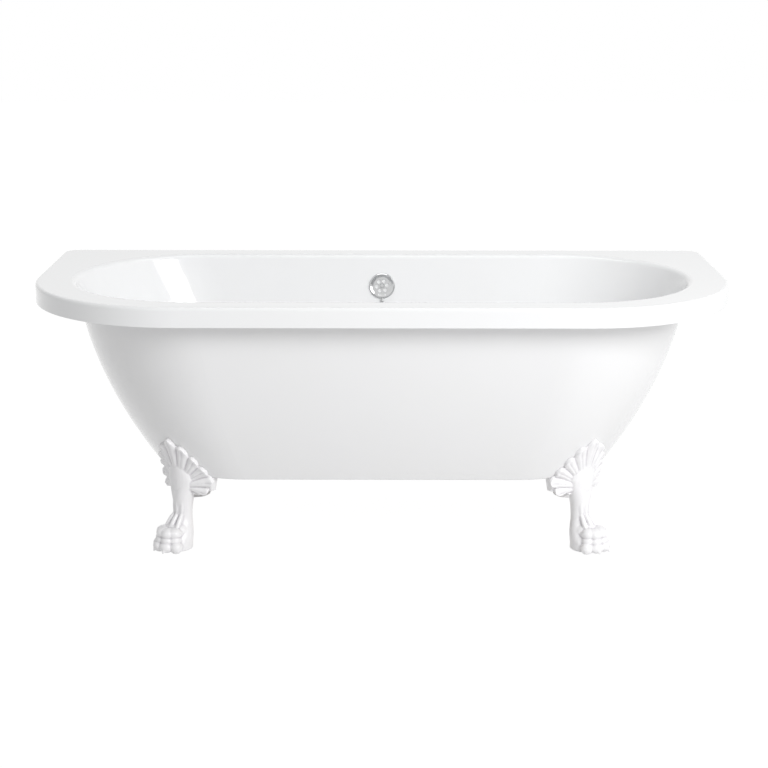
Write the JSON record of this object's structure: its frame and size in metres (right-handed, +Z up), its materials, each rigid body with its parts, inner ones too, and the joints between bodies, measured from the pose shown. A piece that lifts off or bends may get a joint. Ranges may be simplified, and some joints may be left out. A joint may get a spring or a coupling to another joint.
{
  "type": "clawfoot bathtub",
  "caption": "Back-to-wall double-ended bath with a wide flat rim and smooth tapered skin on painted claw feet, with overflow, waste, plug and chain.",
  "frame": {"origin": "on the floor under the middle of the rim's plan", "axes": "+X along the bath, +Y to the wall behind it, +Z up"},
  "size_m": [1.7, 0.75, 0.635],
  "materials": {
    "tub_acrylic": "white sanitary acrylic, high gloss",
    "skin_acrylic": "white acrylic, gloss",
    "timber": "planed softwood",
    "board": "resin-sealed board",
    "steel": "galvanised tube",
    "zinc": "zinc plated",
    "foot_paint": "satin white enamel over a casting",
    "chrome": "bright chrome",
    "chain": "chromed links",
    "seal_rubber": "soft black",
    "plug_rubber": "black",
    "pad_rubber": "hard grey-black",
    "white_plastic": "moulded, matt",
    "hose_plastic": "flexible grey"
  },
  "bodies": {
    "bath": {"inner_tub": "tub_acrylic", "outer_skin": "skin_acrylic", "rim_batten_front": "timber", "rim_batten_back": "timber", "rim_batten_right": "timber", "rim_batten_left": "timber", "base_board": "board", "cross_bar_right": "steel", "cross_bar_left": "steel", "bar_screws": "zinc", "foot_bolts": "zinc", "foot_washers": "zinc", "overflow_rose": "chrome", "overflow_screw": "chrome", "stay_ring": "chrome", "overflow_seal": "seal_rubber", "overflow_elbow": "white_plastic", "overflow_hose": "hose_plastic", "hose_nut": "white_plastic", "waste_flange": "chrome", "waste_screw": "chrome", "waste_seal": "seal_rubber", "waste_body": "white_plastic", "plug_chain": "chain", "claw_foot_front_right": "foot_paint", "claw_foot_front_left": "foot_paint", "claw_foot_back_right": "foot_paint", "claw_foot_back_left": "foot_paint"},
    "plug": {"plug_rubber": "plug_rubber", "plug_cap": "chrome", "plug_ring": "chrome"},
    "levelling_foot_front_right": {"levelling_pad_front_right": "pad_rubber", "levelling_stud_front_right": "zinc"},
    "levelling_foot_front_left": {"levelling_pad_front_left": "pad_rubber", "levelling_stud_front_left": "zinc"},
    "levelling_foot_back_right": {"levelling_pad_back_right": "pad_rubber", "levelling_stud_back_right": "zinc"},
    "levelling_foot_back_left": {"levelling_pad_back_left": "pad_rubber", "levelling_stud_back_left": "zinc"}
  },
  "joints": [
    {"name": "plug_lift", "type": "slide", "parent": "bath", "child": "plug", "axis": [0, 0, 1], "range_m": [0, 0.08], "deforming": ["plug_chain"]},
    {"name": "level_front_right", "type": "slide", "parent": "bath", "child": "levelling_foot_front_right", "axis": [0, 0, -1], "range_m": [0, 0.012]},
    {"name": "level_front_left", "type": "slide", "parent": "bath", "child": "levelling_foot_front_left", "axis": [0, 0, -1], "range_m": [0, 0.012]},
    {"name": "level_back_right", "type": "slide", "parent": "bath", "child": "levelling_foot_back_right", "axis": [0, 0, -1], "range_m": [0, 0.012]},
    {"name": "level_back_left", "type": "slide", "parent": "bath", "child": "levelling_foot_back_left", "axis": [0, 0, -1], "range_m": [0, 0.012]}
  ]
}
